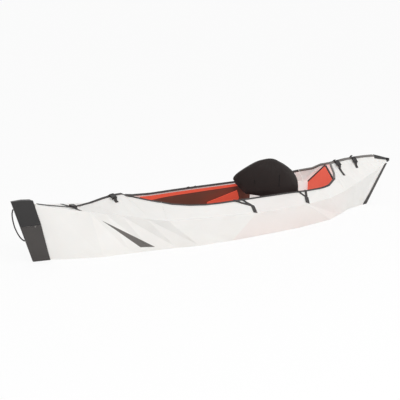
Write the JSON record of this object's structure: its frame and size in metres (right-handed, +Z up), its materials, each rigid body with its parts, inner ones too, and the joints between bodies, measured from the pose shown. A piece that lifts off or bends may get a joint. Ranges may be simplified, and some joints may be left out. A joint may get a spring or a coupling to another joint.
{
  "type": "folding_kayak",
  "caption": "Folding kayak of white twin-wall plastic sheet with an open cockpit, black edge trim, orange inner walls, padded seat and backrest, buckled deck straps and black end caps.",
  "frame": {"origin": "middle of the flat bottom, at floor height, centred on the overall box", "axes": "+X along the hull toward the bow, +Y toward port, +Z up"},
  "size_m": [2.95, 0.7398, 0.417],
  "materials": {
    "sheet": "translucent twin-wall sheet, fine flutes, satin",
    "orange": "satin",
    "trim": "matt",
    "rim": "matt",
    "hood": "satin, moulded",
    "cover": "satin, moulded",
    "webbing": "woven",
    "buckle": "satin, moulded",
    "pad": "woven cover over foam",
    "board": "fine flutes, satin"
  },
  "bodies": {
    "hull": {"hull_bottom_panel": "sheet", "port_side_bow": "sheet", "starboard_side_bow": "sheet", "port_side_forward": "sheet", "starboard_side_forward": "sheet", "port_side_mid": "sheet", "starboard_side_mid": "sheet", "port_side_stern": "sheet", "starboard_side_stern": "sheet", "port_deck_forward": "sheet", "starboard_deck_forward": "sheet", "port_deck_mid": "sheet", "starboard_deck_mid": "sheet", "port_deck_aft": "sheet", "starboard_deck_aft": "sheet", "port_stern_peak_panel": "sheet", "starboard_stern_peak_panel": "sheet", "port_cockpit_channel": "trim", "starboard_cockpit_channel": "trim", "bow_stem_cover": "cover", "stern_stem_cover": "cover", "bow_hood": "hood", "stern_deck_cap": "hood", "port_front_side_strap": "webbing", "starboard_front_side_strap": "webbing", "port_rear_side_strap": "webbing", "starboard_rear_side_strap": "webbing", "port_liner_wall": "orange", "starboard_liner_wall": "orange", "floorboard": "board", "seat_pad": "pad"},
    "fore_port_flap": {"port_fore_deck_flap": "sheet", "port_fore_seam_channel": "trim", "fore_strap_1_port_webbing": "webbing", "fore_strap_1_buckle_socket": "buckle", "fore_strap_2_port_webbing": "webbing", "fore_strap_2_buckle_socket": "buckle"},
    "fore_starboard_flap": {"starboard_fore_deck_flap": "sheet", "starboard_fore_seam_channel": "trim", "fore_strap_1_starboard_webbing": "webbing", "fore_strap_2_starboard_webbing": "webbing"},
    "aft_port_flap": {"port_aft_deck_flap": "sheet", "port_aft_seam_channel": "rim", "aft_strap_1_port_webbing": "webbing", "aft_strap_1_buckle_socket": "buckle", "aft_strap_2_port_webbing": "webbing", "aft_strap_2_buckle_socket": "buckle"},
    "aft_starboard_flap": {"starboard_aft_deck_flap": "sheet", "starboard_aft_seam_channel": "rim", "aft_strap_1_starboard_webbing": "webbing", "aft_strap_2_starboard_webbing": "webbing"},
    "backrest": {"backrest_pad": "pad", "backrest_board": "board"},
    "foot_brace": {"foot_brace": "orange"},
    "rear_bulkhead": {"rear_bulkhead": "orange"},
    "carry_loop": {"bow_carry_loop": "webbing"},
    "fore_strap_1_plug": {"fore_strap_1_buckle_plug": "buckle"},
    "fore_strap_2_plug": {"fore_strap_2_buckle_plug": "buckle"},
    "aft_strap_1_plug": {"aft_strap_1_buckle_plug": "buckle"},
    "aft_strap_2_plug": {"aft_strap_2_buckle_plug": "buckle"}
  },
  "joints": [
    {"name": "fore_port_flap_hinge", "type": "hinge", "parent": "hull", "child": "fore_port_flap", "pos_m": [0.97497, 0.16595, 0.2631], "axis": [-0.9133, 0.3703, -0.1697], "range_deg": [0, 70]},
    {"name": "fore_starboard_flap_hinge", "type": "hinge", "parent": "hull", "child": "fore_starboard_flap", "pos_m": [0.97497, -0.16595, 0.2631], "axis": [0.9133, 0.3703, 0.1697], "range_deg": [0, 70]},
    {"name": "aft_port_flap_hinge", "type": "hinge", "parent": "hull", "child": "aft_port_flap", "pos_m": [-1.09519, 0.13006, 0.20738], "axis": [-0.9271, -0.35, 0.1338], "range_deg": [0, 70]},
    {"name": "aft_starboard_flap_hinge", "type": "hinge", "parent": "hull", "child": "aft_starboard_flap", "pos_m": [-1.09519, -0.13006, 0.20738], "axis": [0.9271, -0.35, -0.1338], "range_deg": [0, 70]},
    {"name": "fore_strap_1_plug_slide", "type": "slide", "parent": "fore_port_flap", "child": "fore_strap_1_plug", "axis": [-0.0098, -0.999, 0.0432], "range_m": [0, 0.025]},
    {"name": "fore_strap_2_plug_slide", "type": "slide", "parent": "fore_port_flap", "child": "fore_strap_2_plug", "axis": [0.0399, -0.9344, 0.354], "range_m": [0, 0.025]},
    {"name": "aft_strap_1_plug_slide", "type": "slide", "parent": "aft_port_flap", "child": "aft_strap_1_plug", "axis": [0.0551, -0.7703, 0.6353], "range_m": [0, 0.025]},
    {"name": "aft_strap_2_plug_slide", "type": "slide", "parent": "aft_port_flap", "child": "aft_strap_2_plug", "axis": [0.0118, -0.6561, 0.7546], "range_m": [0, 0.025]},
    {"name": "backrest_hinge", "type": "hinge", "parent": "hull", "child": "backrest", "pos_m": [-0.35753, 0, 0.0126], "axis": [0, 1, 0], "range_deg": [-12, 12]},
    {"name": "foot_brace_hinge", "type": "hinge", "parent": "hull", "child": "foot_brace", "pos_m": [0.6195, 0, 0.0053], "axis": [0, -1, 0], "range_deg": [0, 80]},
    {"name": "rear_bulkhead_hinge", "type": "hinge", "parent": "hull", "child": "rear_bulkhead", "pos_m": [-0.84021, 0, 0.00591], "axis": [0, 1, 0], "range_deg": [0, 80]},
    {"name": "carry_loop_hinge", "type": "hinge", "parent": "hull", "child": "carry_loop", "pos_m": [1.4633, 0, 0.3221], "axis": [-0.3285, 0, -0.9445], "range_deg": [-80, 80]}
  ],
  "couplings": [
    {"joint": "fore_starboard_flap_hinge", "follows": "fore_port_flap_hinge", "ratio": 1},
    {"joint": "aft_starboard_flap_hinge", "follows": "aft_port_flap_hinge", "ratio": 1}
  ]
}
